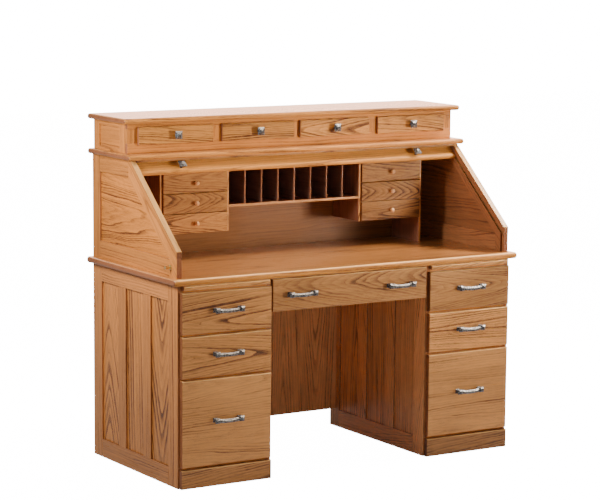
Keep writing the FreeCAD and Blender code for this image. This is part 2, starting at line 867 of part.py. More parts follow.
# Deck drawers with a lipped front and a pyramid knob
def make_deck_drawers():
    y0 = deck_y
    z = shelf_top + deck_bottom_margin
    height = deck_height - deck_bottom_margin - deck_top_margin
    places, width = deck_fronts()
    for name, x in places.items():
        y_face = y0 - deck_front_thick
        front = front_board(x, width, y_face, deck_front_thick, z, height, deck_front_round)
        box = drawer_box(x, width / 2 - deck_lip - deck_box_gap, y0, deck_box_depth,
                         z + deck_lip + slip, height - 2 * deck_lip - deck_box_headroom, deck_box_side)
        save(name + "_deck_drawer", [front] + box)
        knob = metal_knob()
        knob.translate(Vec(x, y_face, z + height / 2))
        save(name + "_deck_knob", [knob])


def make_top_board():
    board = edged_board(top_board_width, deck_y - top_board_overhang, deck_top,
                        top_board_thick, shelf_round)
    save("top_board", [board])


make_desktop()
for side_name, side_x in (("left", -pedestal_x), ("right", pedestal_x)):
    make_pedestal(side_name, side_x)
    make_pedestal_drawers(side_name, side_x)
    make_writing_slide(side_name, side_x)
make_centre_drawer()
make_modesty_panel()
make_hutch()
make_tambour()
make_leading_slat()
make_lift_rail()
make_pigeonholes()
make_small_drawers("left", -1)
make_small_drawers("right", 1)
make_middle_shelf()
make_deck()
make_deck_drawers()
make_top_board()
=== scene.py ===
import bpy
import bmesh
import json
import math
import random
from mathutils import Matrix, Vector


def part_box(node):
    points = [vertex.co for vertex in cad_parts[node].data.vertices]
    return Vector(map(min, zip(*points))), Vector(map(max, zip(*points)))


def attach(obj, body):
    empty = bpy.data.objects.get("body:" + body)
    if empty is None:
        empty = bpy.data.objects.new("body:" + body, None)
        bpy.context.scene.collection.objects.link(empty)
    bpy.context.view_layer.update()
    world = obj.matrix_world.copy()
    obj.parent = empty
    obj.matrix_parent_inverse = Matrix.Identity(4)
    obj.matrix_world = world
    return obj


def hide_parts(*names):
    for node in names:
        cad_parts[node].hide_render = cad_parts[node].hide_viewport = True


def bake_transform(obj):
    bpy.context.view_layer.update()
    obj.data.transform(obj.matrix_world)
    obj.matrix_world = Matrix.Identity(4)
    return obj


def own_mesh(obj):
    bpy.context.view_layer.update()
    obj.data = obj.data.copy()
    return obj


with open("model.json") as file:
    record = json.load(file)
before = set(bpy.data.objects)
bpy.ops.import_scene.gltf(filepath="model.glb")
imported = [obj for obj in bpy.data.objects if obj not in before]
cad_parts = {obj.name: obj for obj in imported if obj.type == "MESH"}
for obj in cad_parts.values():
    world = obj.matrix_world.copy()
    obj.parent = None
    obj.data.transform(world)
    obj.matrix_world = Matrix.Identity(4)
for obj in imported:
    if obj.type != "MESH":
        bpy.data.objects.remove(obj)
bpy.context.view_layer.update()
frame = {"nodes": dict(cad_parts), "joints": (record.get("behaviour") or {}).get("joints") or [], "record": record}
nodes = frame["nodes"]
bodyOf = {node: body for body, members in frame["record"]["behaviour"]["bodies"].items() for node in members}
jointOf = {joint["name"]: joint for joint in frame["joints"]}
print("frame loaded:", len(nodes), "nodes")


# small helpers for shader trees: a value is a number, a colour or another socket
def feed(tree, socket, value):
    if isinstance(value, bpy.types.NodeSocket):
        tree.links.new(value, socket)
    else:
        socket.default_value = value


def calc(tree, operation, *values):
    node = tree.nodes.new("ShaderNodeMath")
    node.operation = operation
    for socket, value in zip(node.inputs, values):
        feed(tree, socket, value)
    return node.outputs[0]


def rescale(tree, value, low, high, newLow, newHigh):
    node = tree.nodes.new("ShaderNodeMapRange")
    node.interpolation_type = "SMOOTHSTEP"
    for socket, number in zip(node.inputs, (value, low, high, newLow, newHigh)):
        feed(tree, socket, number)
    return node.outputs[0]


def parts(tree, vector):
    node = tree.nodes.new("ShaderNodeSeparateXYZ")
    feed(tree, node.inputs[0], vector)
    return node.outputs


def joined(tree, x, y, z):
    node = tree.nodes.new("ShaderNodeCombineXYZ")
    for socket, value in zip(node.inputs, (x, y, z)):
        feed(tree, socket, value)
    return node.outputs[0]


def scaled(tree, vector, factors):
    node = tree.nodes.new("ShaderNodeVectorMath")
    node.operation = "MULTIPLY"
    feed(tree, node.inputs[0], vector)
    feed(tree, node.inputs[1], factors)
    return node.outputs[0]


def brightened(tree, colour, factor):
    node = tree.nodes.new("ShaderNodeVectorMath")
    node.operation = "SCALE"
    feed(tree, node.inputs[0], colour)
    feed(tree, node.inputs["Scale"], factor)
    return node.outputs[0]


def noise(tree, vector, detail, roughness=0.5):
    node = tree.nodes.new("ShaderNodeTexNoise")
    feed(tree, node.inputs["Vector"], vector)
    node.inputs["Scale"].default_value = 1.0
    node.inputs["Detail"].default_value = detail
    node.inputs["Roughness"].default_value = roughness
    return node.outputs[0]


def luckOf(tree, first, second):
    node = tree.nodes.new("ShaderNodeTexWhiteNoise")
    node.noise_dimensions = "2D"
    feed(tree, node.inputs["Vector"], joined(tree, first, second, 0.0))
    return node.outputs


def mixed(tree, factor, first, second):
    node = tree.nodes.new("ShaderNodeMix")
    node.data_type = "RGBA"
    for index, value in ((0, factor), (6, first), (7, second)):  # the sockets that a colour mix uses
        feed(tree, node.inputs[index], value)
    return node.outputs[2]


def newGroup(name, inputs, outputs):
    tree = bpy.data.node_groups.new(name, "ShaderNodeTree")
    for way, sockets in (("INPUT", inputs), ("OUTPUT", outputs)):
        for label, kind in sockets:
            tree.interface.new_socket(label, in_out=way, socket_type=kind)
    return tree, tree.nodes.new("NodeGroupInput").outputs, tree.nodes.new("NodeGroupOutput").inputs


# oak: growth rings cut by the board, dark pores along them and a slow change of tone
# grain = metres along, across and through the board; board = seed, tone, width of a glued strip
oakFigure = {
    "heartShift": 0.45, "depthLeast": 0.3, "seedSpread": 31.0, "ringSpread": 17.0,
    "wanderScale": (1.6, 8.0, 8.0),
    "rippleScale": (9.0, 60.0, 60.0), "ripple": 0.0085,
    "taperLuck": 1.6, "taperLeast": 0.15,
    "unevenScale": 0.45, "uneven": 1.6,
    "ringPower": 1.5, "ringLeast": 0.18,
    "ringShades": ((0.0, 0.8), (0.16, 1.0), (0.40, 0.45), (0.66, 0.08), (0.92, 0.0), (1.0, 0.8)),
    "patchScale": (2.6, 11.0, 11.0), "patch": (0.36, 0.64, 0.42, 1.25),
    "poreScale": (42.0, 430.0, 430.0), "pores": (0.50, 0.66, 0.0, 1.0), "poreOnRing": 0.75, "poreLeast": 0.25,
    "poreStain": 0.45, "ringStain": 0.8,
    "fibreScale": (7.0, 260.0, 260.0), "fibre": 0.30,
    "cloudScale": (1.1, 5.0, 5.0), "cloud": 0.45,
    "streakScale": (6.0, 120.0, 120.0), "streak": 0.45,
    "boardTone": 0.13, "stripTone": 0.12,
    "roughness": 0.24, "fibreRoughness": 0.10, "poreRoughness": 0.18,
    "bumpStrength": 0.35, "bumpDistance": 0.0004,
}


def makeOakGroup():
    look = oakFigure
    floatKind, colourKind, vectorKind = "NodeSocketFloat", "NodeSocketColor", "NodeSocketVector"
    tree, given, out = newGroup(
        "oakFigure",
        [("Grain", vectorKind), ("Board", vectorKind), ("Light", colourKind), ("Dark", colourKind)]
        + [(label, floatKind) for label in ("Ring", "Strength", "Taper", "Depth", "Wander")],
        [("Color", colourKind), ("Roughness", floatKind), ("Height", floatKind)])

    def op(operation, *values):
        return calc(tree, operation, *values)

    def centred(value):
        return op("SUBTRACT", value, 0.5)

    along, across, through = parts(tree, given["Grain"])
    seed, tone, strip = parts(tree, given["Board"])
    stripIndex = op("FLOOR", op("ADD", op("DIVIDE", across, strip), 0.5))
    luckA, luckB, luckC = parts(tree, luckOf(tree, stripIndex, seed)["Color"])
    seeded = joined(tree, op("MULTIPLY_ADD", luckC, look["seedSpread"], along), op("ADD", across, seed), through)

    def grainNoise(scale, detail):
        return noise(tree, scaled(tree, seeded, look[scale]), detail)

    # distance from the heart of the tree, which lies beside and behind the middle of each strip
    shift = op("MULTIPLY", centred(luckA), op("MULTIPLY", strip, look["heartShift"]))
    local = op("ADD", op("SUBTRACT", across, op("MULTIPLY", stripIndex, strip)), shift)
    local = op("MULTIPLY_ADD", centred(grainNoise("wanderScale", 2.0)), given["Wander"], local)
    depth = op("MULTIPLY_ADD", given["Depth"], op("ADD", luckB, look["depthLeast"]), through)
    radius = op("SQRT", op("ADD", op("MULTIPLY", local, local), op("MULTIPLY", depth, depth)))
    turn = op("MULTIPLY_ADD", op("ROUND", luckC), 2.0, -1.0)
    taper = op("MULTIPLY_ADD", op("MULTIPLY", luckB, luckB), look["taperLuck"], look["taperLeast"])
    taper = op("MULTIPLY", given["Taper"], taper)
    radius = op("MULTIPLY_ADD", op("MULTIPLY", along, turn), taper, radius)
    radius = op("MULTIPLY_ADD", centred(grainNoise("rippleScale", 3.0)), look["ripple"], radius)

    # rings of uneven width and strength
    phase = op("MULTIPLY_ADD", luckC, look["ringSpread"], op("DIVIDE", radius, given["Ring"]))
    uneven = noise(tree, joined(tree, op("MULTIPLY", phase, look["unevenScale"]), seed, 0.0), 1.0)
    phase = op("MULTIPLY_ADD", uneven, look["uneven"], phase)
    ringLuck = luckOf(tree, op("FLOOR", phase), seed)["Value"]
    ringStrength = op("ADD", op("POWER", ringLuck, look["ringPower"]), look["ringLeast"])
    profile = tree.nodes.new("ShaderNodeValToRGB")
    feed(tree, profile.inputs[0], op("FRACT", phase))
    stops = profile.color_ramp.elements
    for place, shade in look["ringShades"]:
        stop = stops.new(place) if 0.0 < place < 1.0 else stops[0 if place == 0.0 else -1]
        stop.color = (shade, shade, shade, 1)
    patch = rescale(tree, grainNoise("patchScale", 1.0), *look["patch"])
    rings = op("MULTIPLY", op("MULTIPLY", profile.outputs[0], ringStrength), patch)

    # pores sit mostly on the rings, and both take up the stain
    pores = rescale(tree, grainNoise("poreScale", 1.0), *look["pores"])
    pores = op("MULTIPLY", pores, op("MULTIPLY_ADD", rings, look["poreOnRing"], look["poreLeast"]))
    stain = op("MULTIPLY_ADD", pores, look["poreStain"], op("MULTIPLY", rings, look["ringStain"]))
    stain = op("MINIMUM", op("MULTIPLY", stain, given["Strength"]), 1.0)

    fibre = grainNoise("fibreScale", 2.0)
    glow = op("MULTIPLY_ADD", centred(grainNoise("cloudScale", 1.0)), look["cloud"], 1.0)
    glow = op("MULTIPLY_ADD", centred(fibre), look["fibre"], glow)
    glow = op("MULTIPLY_ADD", centred(grainNoise("streakScale", 1.0)), look["streak"], glow)
    glow = op("MULTIPLY_ADD", tone, look["boardTone"], glow)
    glow = op("MULTIPLY_ADD", centred(luckB), look["stripTone"], glow)
    roughness = op("MULTIPLY_ADD", fibre, look["fibreRoughness"], look["roughness"])
    feed(tree, out["Color"], brightened(tree, mixed(tree, stain, given["Light"], given["Dark"]), glow))
    feed(tree, out["Roughness"], op("MULTIPLY_ADD", pores, look["poreRoughness"], roughness))
    feed(tree, out["Height"], op("MULTIPLY", stain, -1.0))
    return tree


oakGroup = makeOakGroup()


def attribute(tree, name):
    node = tree.nodes.new("ShaderNodeAttribute")
    node.attribute_name = name
    return node.outputs["Vector"]


def newMaterial(name):
    material = bpy.data.materials.new(name)
    material.use_nodes = True
    tree = material.node_tree
    return material, tree, tree.nodes["Principled BSDF"]


def bumped(tree, shader, height, look):
    bump = tree.nodes.new("ShaderNodeBump")
    bump.inputs["Strength"].default_value = look["bumpStrength"]
    bump.inputs["Distance"].default_value = look["bumpDistance"]
    feed(tree, bump.inputs["Height"], height)
    feed(tree, shader.inputs["Normal"], bump.outputs[0])


# what a finish doesn't set itself comes from plainOak; ring, depth and wander are in metres
plainOak = {"ring": 0.0110, "strength": 0.85, "taper": 0.040, "depth": 0.030, "wander": 0.030,
            "coat": 0.0, "coatRoughness": 0.08, "specular": 0.24}
oakFinishes = {
    "frontOak": {"light": (0.605, 0.257, 0.077), "dark": (0.080, 0.026, 0.010), "ring": 0.0098,
                 "strength": 1.30, "taper": 0.200, "wander": 0.034, "specular": 0.30},
    "fileOak": {"light": (0.62, 0.272, 0.085), "dark": (0.095, 0.032, 0.012), "ring": 0.0098,
                "strength": 0.95, "taper": 0.085, "wander": 0.034, "specular": 0.30},
    "smallOak": {"light": (0.50, 0.203, 0.048), "dark": (0.060, 0.019, 0.008), "ring": 0.0092,
                 "strength": 1.75, "taper": 0.132, "depth": 0.022, "wander": 0.060, "specular": 0.12},
    "panelOak": {"light": (0.60, 0.222, 0.052), "dark": (0.125, 0.041, 0.011), "ring": 0.0210,
                 "strength": 1.6, "taper": 0.240, "depth": 0.016, "wander": 0.026, "coat": 0.05, "specular": 0.26},
    "hutchOak": {"light": (0.62, 0.218, 0.042), "dark": (0.110, 0.032, 0.009), "ring": 0.0105,
                 "strength": 1.35, "taper": 0.320, "depth": 0.050, "wander": 0.110, "specular": 0.12},
    "sideOak": {"light": (0.59, 0.220, 0.056), "dark": (0.105, 0.032, 0.010), "coat": 0.05},
    "topOak": {"light": (0.55, 0.222, 0.062), "dark": (0.120, 0.038, 0.012), "ring": 0.0105,
               "strength": 0.9, "depth": 0.040, "coat": 0.90, "specular": 0.40},
    "rimOak": {"light": (0.54, 0.212, 0.050), "dark": (0.100, 0.031, 0.010), "ring": 0.0105,
               "strength": 0.9, "depth": 0.040, "specular": 0.06},
    # painted highlight: a lighter colour on the rounded front edges of drawers, slide, plinth and desktop rim,
    # where light catches them
    "wornOak": {"light": (0.90, 0.520, 0.210), "dark": (0.40, 0.190, 0.070), "ring": 0.0105,
                "strength": 0.4, "depth": 0.040, "specular": 0.0},
    "railOak": {"light": (0.53, 0.214, 0.046), "dark": (0.100, 0.034, 0.011), "ring": 0.0098,
                "strength": 0.8, "taper": 0.030, "depth": 0.040, "wander": 0.020, "specular": 0.06},
    "stackOak": {"light": (0.44, 0.184, 0.052), "dark": (0.055, 0.018, 0.008), "ring": 0.0092,
                 "strength": 1.75, "taper": 0.18, "depth": 0.022, "wander": 0.060, "coat": 0.05},
    "shellOak": {"light": (0.51, 0.187, 0.042), "dark": (0.105, 0.032, 0.010), "specular": 0.10},
    # painted highlight: a lighter colour on the sloped faces of the hutch sides, where light catches them
    "slopeOak": {"light": (0.70, 0.360, 0.120), "dark": (0.20, 0.080, 0.026), "specular": 0.10},
    # painted shade: a darker colour for the walls round panels and the edges of frames, where shade falls
    "edgeOak": {"light": (0.34, 0.130, 0.048), "dark": (0.070, 0.023, 0.010), "strength": 0.6, "specular": 0.22},
    "endOak": {"light": (0.25, 0.088, 0.034), "dark": (0.090, 0.029, 0.012), "ring": 0.0070,
               "strength": 0.7, "coat": 0.05, "specular": 0.26},
    # painted shade: the inner faces of the hutch sides are darker
    "innerOak": {"light": (0.40, 0.156, 0.062), "dark": (0.090, 0.030, 0.013), "ring": 0.0120,
                 "strength": 0.9, "taper": 0.100, "depth": 0.040, "wander": 0.060, "coat": 0.05, "specular": 0.26},
    # painted light: a lighter colour for the modesty panel and the pedestals' inner sides, standing in for light in
    # the kneehole
    "kneeOak": {"light": (0.78, 0.362, 0.150), "dark": (0.260, 0.106, 0.042), "ring": 0.0115,
                "taper": 0.110, "depth": 0.024, "wander": 0.026, "coat": 0.04},
    # painted shade: the back of the pigeonholes is darker, standing in for the shade behind the unit
    "backOak": {"light": (0.225, 0.088, 0.029), "dark": (0.088, 0.032, 0.011), "ring": 0.0120,
                "strength": 0.7, "wander": 0.080, "coat": 0.08, "specular": 0.28},
    # painted shade: darker colours for the insides of the slots and bays
    "slotOak": {"light": (0.160, 0.076, 0.054), "dark": (0.066, 0.029, 0.020), "strength": 0.6, "specular": 0.20},
    "deepOak": {"light": (0.27, 0.108, 0.062), "dark": (0.090, 0.034, 0.020), "strength": 0.6, "specular": 0.20},
    "knobOak": {"light": (0.66, 0.32, 0.13), "dark": (0.36, 0.15, 0.05), "ring": 0.0060,
                "strength": 0.5, "coat": 0.20, "specular": 0.40},
    "boxOak": {"light": (0.62, 0.360, 0.140), "dark": (0.34, 0.165, 0.050), "ring": 0.0080,
               "strength": 0.55, "specular": 0.25},
}


def makeOak(name):
    look = {**plainOak, **oakFinishes[name]}
    material, tree, shader = newMaterial(name)
    figure = tree.nodes.new("ShaderNodeGroup")
    figure.node_tree = oakGroup
    feed(tree, figure.inputs["Grain"], attribute(tree, "grain"))
    feed(tree, figure.inputs["Board"], attribute(tree, "board"))
    for label in ("Light", "Dark"):
        figure.inputs[label].default_value = (*look[label.lower()], 1)
    for label in ("Ring", "Strength", "Taper", "Depth", "Wander"):
        figure.inputs[label].default_value = look[label.lower()]
    feed(tree, shader.inputs["Base Color"], figure.outputs["Color"])
    feed(tree, shader.inputs["Roughness"], figure.outputs["Roughness"])
    shader.inputs["Specular IOR Level"].default_value = look["specular"]
    shader.inputs["Coat Weight"].default_value = look["coat"]
    shader.inputs["Coat Roughness"].default_value = look["coatRoughness"]
    bumped(tree, shader, figure.outputs["Height"], oakFigure)
    return material


oaks = {name: makeOak(name) for name in oakFinishes}

metalFigure = {"mottleDetail": 4.0, "mottleRoughness": 0.6, "patina": (0.40, 0.62, 0.0, 1.0),
               "patinaRoughness": -0.10, "brush": (160.0, 2400.0, 2400.0), "brushRoughness": 0.16,
               "brushHeight": 0.4, "bumpStrength": 0.18, "bumpDistance": 0.0003}
metalFinishes = {
    "pewter": {"colour": (0.27, 0.285, 0.30), "hollow": (0.05, 0.05, 0.054), "roughness": 0.54, "mottle": 190.0,
               "ease": 0.0007},
    "brass": {"colour": (0.90, 0.77, 0.44), "hollow": (0.62, 0.49, 0.22), "roughness": 0.28, "mottle": 260.0,
              "ease": 0.0005},
}


def makeMetal(name):
    look = {**metalFigure, **metalFinishes[name]}
    material, tree, shader = newMaterial(name)
    place = tree.nodes.new("ShaderNodeTexCoord").outputs["Object"]
    spots = scaled(tree, place, (look["mottle"],) * 3)
    mottle = noise(tree, spots, look["mottleDetail"], look["mottleRoughness"])
    brushed = noise(tree, scaled(tree, place, look["brush"]), 2.0)
    patina = rescale(tree, mottle, *look["patina"])
    feed(tree, shader.inputs["Base Color"], mixed(tree, patina, (*look["hollow"], 1), (*look["colour"], 1)))
    shader.inputs["Metallic"].default_value = 1.0
    rough = calc(tree, "MULTIPLY_ADD", patina, look["patinaRoughness"], look["roughness"])
    rough = calc(tree, "MULTIPLY_ADD", brushed, look["brushRoughness"], rough)
    feed(tree, shader.inputs["Roughness"], rough)
    bumped(tree, shader, calc(tree, "MULTIPLY_ADD", brushed, look["brushHeight"], mottle), look)
    return material


metals = {name: makeMetal(name) for name in metalFinishes}

clothLook = {"thread": 5200.0, "light": (0.42, 0.35, 0.25, 1), "dark": (0.20, 0.16, 0.11, 1), "roughness": 0.9,
             "bumpStrength": 0.4, "bumpDistance": 0.0004}


def makeCanvas():
    material, tree, shader = newMaterial("canvasCloth")
    x, y, z = parts(tree, tree.nodes.new("ShaderNodeTexCoord").outputs["Object"])
    warp = calc(tree, "SINE", calc(tree, "MULTIPLY", x, clothLook["thread"]))
    weft = calc(tree, "SINE", calc(tree, "MULTIPLY", calc(tree, "ADD", y, z), clothLook["thread"]))
    weave = calc(tree, "MULTIPLY_ADD", calc(tree, "MULTIPLY", warp, weft), 0.5, 0.5)
    feed(tree, shader.inputs["Base Color"], mixed(tree, weave, clothLook["dark"], clothLook["light"]))
    shader.inputs["Roughness"].default_value = clothLook["roughness"]
    bumped(tree, shader, weave, clothLook)
    return material


canvasCloth = makeCanvas()
print("materials ready")

mergeReach = 2e-6  # metres: corners this close are one
flatTogether = -0.999  # faces whose normals are this opposed lie flat on each other


# solids of a node: faces are gathered across shared edges, and where two solids touch along an edge,
# the pair of faces that lie flat on each other is kept apart
def solidsOf(node):
    bm = bmesh.new()
    bm.from_mesh(nodes[node].data)
    bm.normal_update()
    same = bmesh.ops.find_doubles(bm, verts=bm.verts, dist=mergeReach)["targetmap"]
    sides = {}
    for face in bm.faces:
        for loop in face.loops:
            start = same.get(loop.vert, loop.vert).index
            end = same.get(loop.link_loop_next.vert, loop.link_loop_next.vert).index
            sides.setdefault((min(start, end), max(start, end)), ([], []))[start > end].append(face)
    leader = list(range(len(bm.faces)))

    def top(index):
        while leader[index] != index:
            leader[index] = leader[leader[index]]
            index = leader[index]
        return index

    for forward, backward in sides.values():
        taken = set()
        choices = [[other for other in backward if other.normal.dot(face.normal) > flatTogether]
                   for face in forward]
        for face, others in sorted(zip(forward, choices), key=lambda item: len(item[1])):
            free = [other for other in others if other not in taken]
            if free:
                partner = min(free, key=lambda other: other.normal.dot(face.normal))
                taken.add(partner)
                leader[top(face.index)] = top(partner.index)
    groups = {}
    for face in bm.faces:
        groups.setdefault(top(face.index), []).append(face)
    solids = []
    for faces in groups.values():
        solid = bmesh.new()
        copies = {}
        for face in faces:
            corners = [same.get(vert, vert) for vert in face.verts]
            for vert in corners:
                if vert not in copies:
                    copies[vert] = solid.verts.new(vert.co)
            if len(set(corners)) == 3:
                solid.faces.new([copies[vert] for vert in corners])
        solids.append(solid)
    bm.free()
    return solids


def extent(bm):
    spots = [vert.co for vert in bm.verts]
    low = Vector([min(spot[i] for spot in spots) for i in range(3)])
    high = Vector([max(spot[i] for spot in spots) for i in range(3)])
    return low, high


# flat, sharpest = degrees: faces under the first become one, and edges over the second are rounded
woodEase = {"flat": 0.6, "sharpest": 40.0, "segments": 2}
metalEase = {"flat": 0.6, "sharpest": 25.0, "segments": 3}


def easeEdges(bm, width, ease):
    bmesh.ops.dissolve_limit(bm, angle_limit=math.radians(ease["flat"]), verts=bm.verts, edges=bm.edges,
                             use_dissolve_boundaries=False)
    sharpest = math.radians(ease["sharpest"])
    edges = [edge for edge in bm.edges if edge.is_manifold and edge.calc_face_angle(0) > sharpest]
    bmesh.ops.bevel(bm, geom=edges, offset=width, offset_type="OFFSET", segments=ease["segments"], profile=0.5,
                    affect="EDGES", clamp_overlap=True, material=-1)


slopeAxis = Vector(jointOf["tambour_slide"]["axis"]).normalized()
slopeOut = Vector((0, -slopeAxis.z, slopeAxis.y))
worldAxes = {"X": Vector((1, 0, 0)), "Y": Vector((0, 1, 0)), "Z": Vector((0, 0, 1))}


def grainAxes(low, high, wanted):
    if wanted == "slope":
        return slopeAxis, slopeOut, worldAxes["X"]
    sizes = high - low
    order = sorted("XYZ", key=lambda letter: -sizes["XYZ".index(letter)])
    if wanted:
        order.remove(wanted)
        order.insert(0, wanted)
    return [worldAxes[letter] for letter in order]


# a narrow piece in one strip is cut beside the heart of the tree, so its lines run straight
boardCut = {"strip": 0.4, "oneStrip": 0.3, "narrow": 0.075, "beside": (0.07, 0.15),
            "seeds": (0, 90), "tones": (-1, 1)}


def markGrain(bm, luck, wanted, stripWidth, tone):
    low, high = extent(bm)
    centre = (low + high) / 2
    along, across, through = grainAxes(low, high, wanted)
    places = [vert.co.dot(across) for vert in bm.verts]
    if max(places) - min(places) < boardCut["narrow"] and stripWidth > boardCut["oneStrip"]:
        centre -= across * luck.uniform(*boardCut["beside"])
    grain = bm.verts.layers.float_vector.new("grain")
    board = bm.verts.layers.float_vector.new("board")
    character = Vector((luck.uniform(*boardCut["seeds"]), luck.uniform(*boardCut["tones"]) + tone, stripWidth))
    for vert in bm.verts:
        spot = vert.co - centre
        vert[grain] = (spot.dot(along), spot.dot(across), spot.dot(through))
        vert[board] = character
    return along


def gather(pieces):
    whole = bmesh.new()
    for bm in pieces:
        carrier = bpy.data.meshes.new("carrier")
        bm.to_mesh(carrier)
        bm.free()
        whole.from_mesh(carrier)
        bpy.data.meshes.remove(carrier)
    return whole


shading = {"crease": 50.0, "weight": 60}


def finishPiece(bm, name, materials, body, replaced, weighted=True, settle=None):
    mesh = bpy.data.meshes.new(name)
    for face in bm.faces:
        face.smooth = True
    for edge in bm.edges:
        edge.smooth = not edge.is_manifold or edge.calc_face_angle(0) < math.radians(shading["crease"])
    for vert in bm.verts if settle else ():
        vert.co = settle(vert.co)
    bm.to_mesh(mesh)
    bm.free()
    for material in materials:
        mesh.materials.append(material)
    piece = bpy.data.objects.new(name, mesh)
    bpy.context.scene.collection.objects.link(piece)
    if weighted:
        modifier = piece.modifiers.new("evenShading", "WEIGHTED_NORMAL")
        modifier.keep_sharp = True
        modifier.weight = shading["weight"]
    if body:
        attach(piece, body)
    if replaced:
        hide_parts(*replaced)
    return piece


def camel(node):
    first, *rest = node.split("_")
    return first + "".join(word.capitalize() for word in rest)


# wooden nodes by the end of their name: finish, eased edge, width of a glued strip and, where the longest side
# isn't it, the grain's direction; tone makes all boards of a node lighter or darker
# the other finishes are for some faces only, and a front edge is painted lighter as a highlight where its normal's
# z lies between the least and most given
drawerFront = {"finish": "frontOak", "ease": 0.0008, "strip": 0.175, "worn": (0.10, 0.985)}
boardTop = {"finish": "topOak", "ease": 0.0012, "strip": 0.12, "rim": "rimOak", "rimTop": 0.97}
hutchSide = {"finish": "shellOak", "ease": 0.0011, "panel": "hutchOak", "reveal": "edgeOak", "slope": "slopeOak"}
woodNodes = {
    "desktop": {**boardTop, "strip": 0.105, "rimTop": 0.35, "worn": (0.66, 0.95)},
    "middle_shelf": boardTop,
    "top_board": boardTop,
    "modesty_panel": {"finish": "kneeOak", "ease": 0.0010, "strip": 0.115, "grain": "Z", "rear": "sideOak"},
    "hutch_back": {"finish": "sideOak", "ease": 0.0010, "strip": 0.30},
    "pigeonhole_back": {"finish": "backOak", "ease": 0.0008, "strip": 0.24},
    "pigeonhole_case": {"finish": "frontOak", "ease": 0.0010, "inside": "deepOak"},
    "slot_dividers": {"finish": "frontOak", "ease": 0.0008, "inside": "slotOak"},
    "centre_runners": {"finish": "boxOak", "ease": 0.0010},
    "tambour_fascia": {"finish": "frontOak", "ease": 0.0008, "tone": -2.0},
    "deck_frame": {"finish": "shellOak", "ease": 0.0009},
    "tambour_slats": {"finish": "frontOak", "ease": 0.0004},
    "leading_slat": {"finish": "frontOak", "ease": 0.0006},
    "lift_rail": {"finish": "railOak", "ease": 0.0009, "tone": -0.5},
    "plinth": {"finish": "frontOak", "ease": 0.0010, "tone": -0.8, "worn": (0.10, 0.985)},
    "left_hutch_side": {**hutchSide, "inward": 1},
    "right_hutch_side": {**hutchSide, "inward": -1},
    "side": {"finish": "sideOak", "ease": 0.0011, "panel": "panelOak", "edge": "edgeOak"},
    "inner_side": {"finish": "kneeOak", "ease": 0.0011, "panel": "kneeOak", "edge": "edgeOak"},
    "frame": {"finish": "sideOak", "ease": 0.0010},
    "slide": {"finish": "frontOak", "ease": 0.0010, "strip": 0.12, "tone": 1.6, "worn": (0.10, 0.985)},
    "small_drawer": {"finish": "stackOak", "ease": 0.0008, "strip": 0.175, "knob": "knobOak"},
    "deck_drawer": {"finish": "smallOak", "ease": 0.0008, "strip": 0.175},
    "file_drawer": {**drawerFront, "finish": "fileOak", "tone": 0.7},
    # painted shade: the top drawers are darker, standing in for the shade under the desktop's overhang
    "top_drawer": {**drawerFront, "tone": -0.6},
    "centre_drawer": {**drawerFront, "tone": -2.3},
    "drawer": drawerFront,
}
# boards that are lighter or darker than the others of their kind
boardTones = {
    "left_top_drawer": -0.5, "right_top_drawer": -0.9, "right_middle_drawer": 2.8, "right_file_drawer": -0.4,
    "centre_drawer": -0.7, "right_high_small_drawer": -3.2, "right_mid_small_drawer": -3.0,
    "right_low_small_drawer": -3.2, "far_left_deck_drawer": -0.8, "far_right_deck_drawer": 0.8,
    "right_plinth": -2.1,
}
woodSizes = {"panelThick": 0.012, "knobWidth": 0.03, "flush": 0.0005}
# a hutch piece this deep and high runs along the slope, if it fills only this share of its box
slopedPiece = {"reach": 0.3, "share": 0.35}
# least part of a face's normal that points that way
facing = {"side": 0.5, "flatSide": 0.99, "end": 0.75, "front": 0.1, "slope": 0.8}


def woodSettings(node):
    endings = [ending for ending in woodNodes if node == ending or node.endswith("_" + ending)]
    return woodNodes[max(endings, key=len)] if endings else None


def isBoxPart(node, low, high, nodeLow, nodeHigh):
    fullWidth = high.x - low.x > nodeHigh.x - nodeLow.x - woodSizes["flush"]
    foremost = low.y < nodeLow.y + woodSizes["flush"]
    return node.endswith("_drawer") and not (fullWidth or foremost)


def isSloped(bm):
    low, high = extent(bm)
    area = sum(face.calc_area() for face in bm.faces if abs(face.normal.x) > facing["flatSide"]) / 2
    return area < slopedPiece["share"] * (high.y - low.y) * (high.z - low.z)


# which finish a face of a board takes: the ends of the grain are darker, and the walls round a panel are painted
# darker as shade
def faceFinish(node, settings, face, low, high, nodeLow, nodeHigh, along):
    normal = face.normal
    if isBoxPart(node, low, high, nodeLow, nodeHigh):
        return "boxOak"
    if "knob" in settings and high.x - low.x < woodSizes["knobWidth"]:
        return settings["knob"]
    # painted shade: faces inside the pigeonholes take the darker colour
    if "inside" in settings and normal.y > -facing["side"]:
        return settings["inside"]
    # painted shade: a hutch side's face that looks inwards takes the darker colour
    if normal.x * settings.get("inward", 0) > facing["side"]:
        return "innerOak"
    if "panel" in settings and high.x - low.x < woodSizes["panelThick"]:
        return settings["panel"]
    # painted shade: faces of a frame that don't face sideways, the walls round its panels and its edges, take the
    # darker colour
    if abs(normal.x) < facing["side"]:
        if "edge" in settings:
            return settings["edge"]
        inwards = (nodeLow + nodeHigh) / 2 - face.calc_center_median()
        if "reveal" in settings and normal.dot(inwards) > 0:
            return settings["reveal"]
    if "rear" in settings and normal.y > facing["side"]:
        return settings["rear"]
    if abs(normal.dot(along)) > facing["end"]:
        return "endOak"
    # painted highlight: a front edge whose normal points up within the range takes the lighter colour
    if "worn" in settings and normal.y < -facing["front"] and settings["worn"][0] < normal.z < settings["worn"][1]:
        return "wornOak"
    # painted highlight: faces that look out along the slope take the lighter colour
    if "slope" in settings and normal.dot(slopeOut) > facing["slope"]:
        return settings["slope"]
    if "rim" in settings and normal.z < settings["rimTop"]:
        return settings["rim"]
    return settings["finish"]


